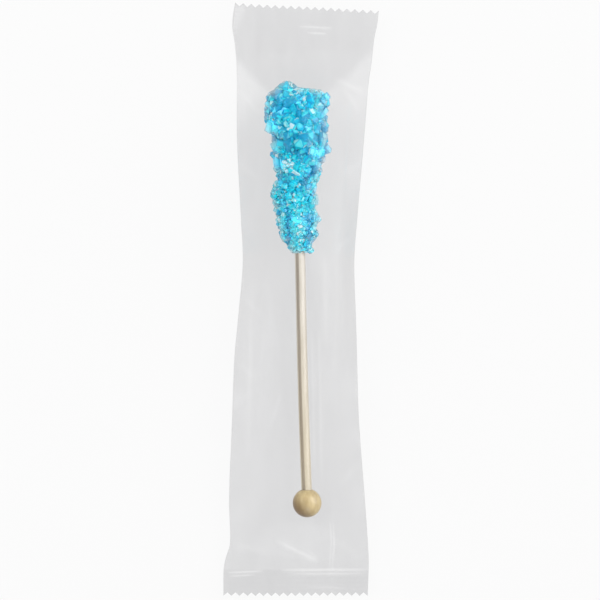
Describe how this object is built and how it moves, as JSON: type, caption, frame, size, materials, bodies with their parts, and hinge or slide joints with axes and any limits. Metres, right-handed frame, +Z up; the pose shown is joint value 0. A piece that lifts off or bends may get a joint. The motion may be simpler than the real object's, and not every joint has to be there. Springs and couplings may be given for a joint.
{
  "type": "wrapped rock candy stick",
  "caption": "Rock candy grown on a ball-ended wooden stick, sealed in a clear film flow wrap with crimped zigzag ends, lying on its back.",
  "frame": {"origin": "on the ground, under the middle of the wrap's bounding box", "axes": "+Y along the wrap towards the candy, +X to the right seen from above, +Z up from the ground through the side that shows"},
  "size_m": [0.0588, 0.2242, 0.029],
  "materials": {
    "film": "clear thin film, slightly hazy, with crimped ribs at both ends",
    "candy": "translucent blue sugar crystals with bright flat facets",
    "wood": "pale bare birch, fine straight grain"
  },
  "bodies": {
    "root": {"wrapper": "film"}
  },
  "joints": []
}
